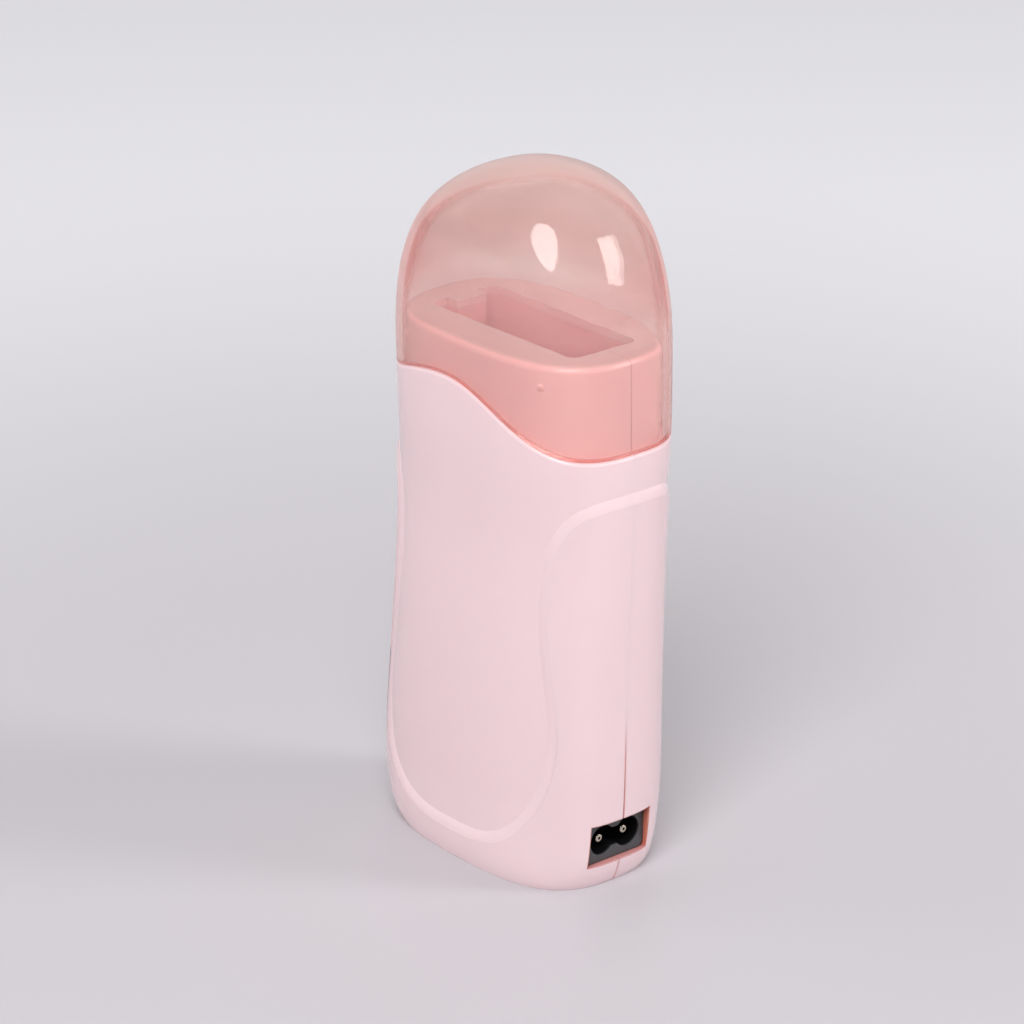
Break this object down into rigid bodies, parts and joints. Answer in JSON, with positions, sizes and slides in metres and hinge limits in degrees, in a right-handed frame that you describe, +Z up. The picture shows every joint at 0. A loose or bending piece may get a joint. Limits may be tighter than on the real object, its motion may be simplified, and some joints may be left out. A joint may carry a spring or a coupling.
{
  "type": "hand-held wax cartridge warmer",
  "caption": "Upright hand-held electric warmer for one roll-on wax cartridge, with a pink moulded housing, a translucent lift-off cover and a figure-8 mains inlet.",
  "frame": {"origin": "middle of the base, on the surface that the warmer stands on", "axes": "+X to the narrow side with the mains inlet, -Y out of the front broad face, +Z up"},
  "size_m": [0.0835, 0.0506, 0.1898],
  "materials": {
    "housing": "satin pale pink moulding",
    "cover": "polished translucent salmon pink",
    "liner": "satin salmon moulding",
    "aluminium": "bare rolled sheet",
    "stone": "fired grey with silvered faces",
    "film": "amber polyimide film",
    "steel": "bright zinc plated",
    "tinned": "tinned",
    "fibre": "braided glass fibre",
    "inlet": "satin dark grey moulding",
    "pin": "nickel plated",
    "live_insulation": "brown silicone",
    "link_insulation": "white silicone",
    "neutral_insulation": "blue silicone",
    "shrink": "black shrink sleeve",
    "brass": "bare"
  },
  "bodies": {
    "housing": {"front_shell": "housing", "rear_shell": "housing", "cartridge_well": "liner", "heating_plate": "aluminium", "ptc_chips": "stone", "ptc_electrodes": "aluminium", "ptc_film": "film", "ptc_clamp": "steel", "clamp_screws": "steel", "shell_screws": "steel", "thermal_fuse": "tinned", "fuse_sleeve": "fibre", "fuse_clip": "steel", "inlet_housing": "inlet", "inlet_pins": "pin", "live_lead": "live_insulation", "link_lead": "link_insulation", "neutral_lead": "neutral_insulation", "pin_sleeves": "shrink", "butt_splices": "tinned", "tab_terminals": "brass"},
    "cover": {"cap": "cover"}
  },
  "joints": [
    {"name": "cap_lift", "type": "slide", "parent": "housing", "child": "cover", "axis": [0, 0, 1], "range_m": [0, 0.045]}
  ]
}
